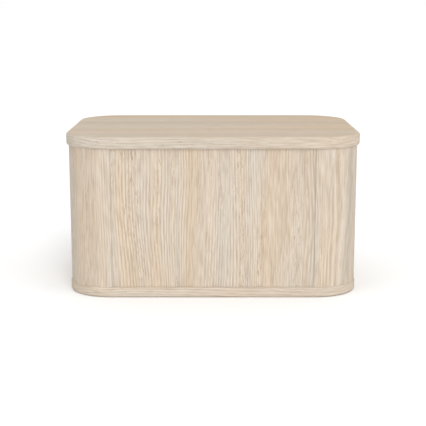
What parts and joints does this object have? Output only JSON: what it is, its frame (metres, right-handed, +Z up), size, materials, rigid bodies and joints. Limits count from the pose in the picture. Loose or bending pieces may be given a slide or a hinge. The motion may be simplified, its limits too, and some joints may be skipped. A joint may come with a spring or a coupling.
{
  "type": "bread box",
  "caption": "Wooden bread box with rounded corners, flat top and base panels, and a slatted tambour front that slides sideways behind the right corner.",
  "frame": {"origin": "on the surface the box stands on, below the middle of the box's width and depth", "axes": "+X to the right seen from the front, +Y towards the back, +Z up; the tambour front faces -Y"},
  "size_m": [0.37, 0.26, 0.2015],
  "materials": {
    "oak_top": "matt oiled light oak, grain from side to side",
    "oak_base": "matt light oak, grain from side to side",
    "oak_shell": "matt light oak veneer, grain upright",
    "oak_slat": "matt light oak, grain upright",
    "birch_liner": "matt birch plywood",
    "beech_post": "planed beech",
    "grey_felt": "pressed felt",
    "canvas": "plain woven cotton canvas",
    "steel_screw": "zinc-plated",
    "clear_pad": "soft translucent silicone"
  },
  "bodies": {
    "cabinet": {"base_panel": "oak_base", "top_panel": "oak_top", "outer_shell": "oak_shell", "inner_liner": "birch_liner", "left_front_post": "beech_post", "rear_left_post": "beech_post", "rear_right_post": "beech_post", "left_batten": "beech_post", "rear_batten": "beech_post", "closing_felt": "grey_felt", "base_screws": "steel_screw", "top_dowels": "beech_post", "foot_pads": "clear_pad", "canvas_backing": "canvas"},
    "lead": {"lead_stile": "oak_slat"},
    "slat_01": {"slat_01": "oak_slat"},
    "slat_02": {"slat_02": "oak_slat"},
    "slat_03": {"slat_03": "oak_slat"},
    "slat_04": {"slat_04": "oak_slat"},
    "slat_05": {"slat_05": "oak_slat"},
    "slat_06": {"slat_06": "oak_slat"},
    "slat_07": {"slat_07": "oak_slat"},
    "slat_08": {"slat_08": "oak_slat"},
    "slat_09": {"slat_09": "oak_slat"},
    "slat_10": {"slat_10": "oak_slat"},
    "slat_11": {"slat_11": "oak_slat"},
    "slat_12": {"slat_12": "oak_slat"},
    "slat_13": {"slat_13": "oak_slat"},
    "slat_14": {"slat_14": "oak_slat"}
  },
  "joints": [
    {"name": "tambour_slide", "type": "slide", "parent": "cabinet", "child": "lead", "axis": [1, 0, 0], "range_m": [0, 0.2408], "deforming": ["canvas_backing", "slat_01", "slat_02", "slat_03", "slat_04", "slat_05", "slat_06", "slat_07", "slat_08", "slat_09", "slat_10", "slat_11", "slat_12", "slat_13", "slat_14"]},
    {"name": "slat_01_slide", "type": "slide", "parent": "cabinet", "child": "slat_01", "axis": [0.9999, 0.0166, 0], "range_m": [0, 0.24085]},
    {"name": "slat_02_slide", "type": "slide", "parent": "cabinet", "child": "slat_02", "axis": [0.9998, 0.0179, 0], "range_m": [0, 0.22365]},
    {"name": "slat_03_slide", "type": "slide", "parent": "cabinet", "child": "slat_03", "axis": [0.9998, 0.0194, 0], "range_m": [0, 0.20645]},
    {"name": "slat_04_slide", "type": "slide", "parent": "cabinet", "child": "slat_04", "axis": [0.9998, 0.0211, 0], "range_m": [0, 0.18926]},
    {"name": "slat_05_slide", "type": "slide", "parent": "cabinet", "child": "slat_05", "axis": [0.9997, 0.0232, 0], "range_m": [0, 0.17206]},
    {"name": "slat_06_slide", "type": "slide", "parent": "cabinet", "child": "slat_06", "axis": [0.9997, 0.0258, 0], "range_m": [0, 0.15487]},
    {"name": "slat_07_slide", "type": "slide", "parent": "cabinet", "child": "slat_07", "axis": [0.9996, 0.0291, 0], "range_m": [0, 0.13767]},
    {"name": "slat_08_slide", "type": "slide", "parent": "cabinet", "child": "slat_08", "axis": [0.9994, 0.0332, 0], "range_m": [0, 0.12048]},
    {"name": "slat_09_slide", "type": "slide", "parent": "cabinet", "child": "slat_09", "axis": [0.9992, 0.0387, 0], "range_m": [0, 0.10329]},
    {"name": "slat_10_slide", "type": "slide", "parent": "cabinet", "child": "slat_10", "axis": [0.9989, 0.0465, 0], "range_m": [0, 0.08611]},
    {"name": "slat_11_slide", "type": "slide", "parent": "cabinet", "child": "slat_11", "axis": [0.9983, 0.058, 0], "range_m": [0, 0.06893]},
    {"name": "slat_12_slide", "type": "slide", "parent": "cabinet", "child": "slat_12", "axis": [0.997, 0.0773, 0], "range_m": [0, 0.05177]},
    {"name": "slat_13_slide", "type": "slide", "parent": "cabinet", "child": "slat_13", "axis": [0.9933, 0.1155, 0], "range_m": [0, 0.03465]},
    {"name": "slat_14_slide", "type": "slide", "parent": "cabinet", "child": "slat_14", "axis": [0.974, 0.2265, 0], "range_m": [0, 0.01767]}
  ],
  "couplings": [
    {"joint": "slat_01_slide", "follows": "tambour_slide", "ratio": 1.0001},
    {"joint": "slat_02_slide", "follows": "tambour_slide", "ratio": 0.92872},
    {"joint": "slat_03_slide", "follows": "tambour_slide", "ratio": 0.8573},
    {"joint": "slat_04_slide", "follows": "tambour_slide", "ratio": 0.78589},
    {"joint": "slat_05_slide", "follows": "tambour_slide", "ratio": 0.71448},
    {"joint": "slat_06_slide", "follows": "tambour_slide", "ratio": 0.64307},
    {"joint": "slat_07_slide", "follows": "tambour_slide", "ratio": 0.57167},
    {"joint": "slat_08_slide", "follows": "tambour_slide", "ratio": 0.50028},
    {"joint": "slat_09_slide", "follows": "tambour_slide", "ratio": 0.42889},
    {"joint": "slat_10_slide", "follows": "tambour_slide", "ratio": 0.35753},
    {"joint": "slat_11_slide", "follows": "tambour_slide", "ratio": 0.2862},
    {"joint": "slat_12_slide", "follows": "tambour_slide", "ratio": 0.21493},
    {"joint": "slat_13_slide", "follows": "tambour_slide", "ratio": 0.14382},
    {"joint": "slat_14_slide", "follows": "tambour_slide", "ratio": 0.073335}
  ]
}
